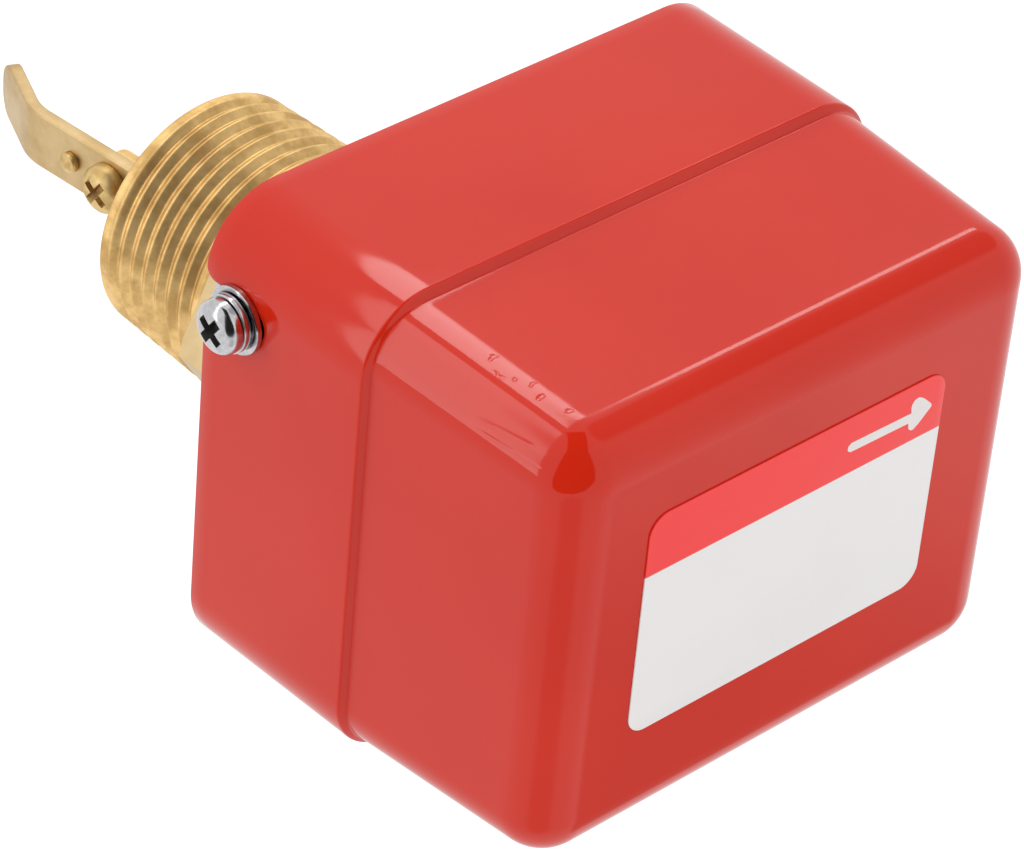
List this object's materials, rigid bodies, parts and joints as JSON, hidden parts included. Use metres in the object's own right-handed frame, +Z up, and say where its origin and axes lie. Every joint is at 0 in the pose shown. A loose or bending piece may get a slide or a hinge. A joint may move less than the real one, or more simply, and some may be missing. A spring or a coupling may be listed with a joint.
{
  "type": "paddle flow switch",
  "caption": "Pipe-mounted flow switch: a brass paddle on a taper-threaded fitting rocks a lever that works a snap switch under a red two-tier steel cover.",
  "frame": {"origin": "on the axis of the pipe thread, at the lower face of the hexagon where the thread starts", "axes": "+Z up along the thread axis from the paddle to the cover; +X the way the liquid flows; +Y across"},
  "size_m": [0.088, 0.0646, 0.1287],
  "materials": {
    "red_paint": "glossy red enamel",
    "label_film": "printed film, white with a red band",
    "bright_zinc": "bright plated",
    "zinc_steel": "zinc plated sheet",
    "steel": "spring steel",
    "brass": "machined, satin",
    "bronze": "thin formed sheet",
    "gasket_rubber": "matte",
    "fibre": "fibre sheet",
    "phenolic": "moulded phenolic",
    "plunger_plastic": "moulded",
    "black_plastic": "moulded nylon"
  },
  "bodies": {
    "housing": {"cover": "red_paint", "label": "label_film", "cover_screws": "bright_zinc", "spring_washers": "bright_zinc", "flat_washers": "bright_zinc", "clinch_nuts": "zinc_steel", "base_tray": "zinc_steel", "fitting_body": "brass", "body_gasket": "gasket_rubber", "lock_nut": "brass", "pivot_sleeve": "brass", "pivot_pin": "steel", "bellows": "bronze", "switch_bracket": "zinc_steel", "bracket_screws": "bright_zinc", "range_spring": "steel", "insulating_sheet": "fibre", "switch_case": "phenolic", "switch_screws": "bright_zinc", "terminals": "brass", "terminal_screws": "bright_zinc", "leaf_pin": "steel", "conduit_bush": "black_plastic", "bush_nut": "black_plastic", "earth_screw": "bright_zinc", "earth_washer": "brass"},
    "paddle": {"paddle_rod": "brass", "paddle_blade": "brass", "blade_screw": "brass", "small_screw": "brass", "small_nut": "brass", "lever_plate": "zinc_steel", "rod_nut": "zinc_steel"},
    "switch_leaf_body": {"switch_leaf": "steel"},
    "plunger_body": {"switch_plunger": "plunger_plastic"},
    "range_screw_body": {"range_screw": "bright_zinc"},
    "range_nut_body": {"range_nut": "brass"}
  },
  "joints": [
    {"name": "paddle_swing", "type": "hinge", "parent": "housing", "child": "paddle", "pos_m": [0, 0, 0.005], "axis": [0, -1, 0], "range_deg": [0, 7.5], "stiffness_Nm_per_rad": 0.15, "springref_deg": -8.59, "deforming": ["bellows", "range_spring"]},
    {"name": "leaf_swing", "type": "hinge", "parent": "housing", "child": "switch_leaf_body", "pos_m": [0.038, 0.01525, 0.0328], "axis": [0, 1, 0], "range_deg": [0, 6.8]},
    {"name": "plunger_travel", "type": "slide", "parent": "housing", "child": "plunger_body", "axis": [0, 0, 1], "range_m": [0, 0.0007]},
    {"name": "range_screw_turn", "type": "hinge", "parent": "housing", "child": "range_screw_body", "pos_m": [0.014, 0, 0.046], "axis": [0, 0, 1], "range_deg": [-1080, 1080]},
    {"name": "range_nut_travel", "type": "slide", "parent": "housing", "child": "range_nut_body", "axis": [0, 0, 1], "range_m": [-0.0021, 0.0021], "deforming": ["range_spring"]}
  ],
  "couplings": [
    {"joint": "leaf_swing", "follows": "paddle_swing", "ratio": 0.88},
    {"joint": "plunger_travel", "follows": "paddle_swing", "m_per_rad": 0.0049},
    {"joint": "range_screw_turn", "follows": "range_nut_travel", "rad_per_m": -8976}
  ]
}
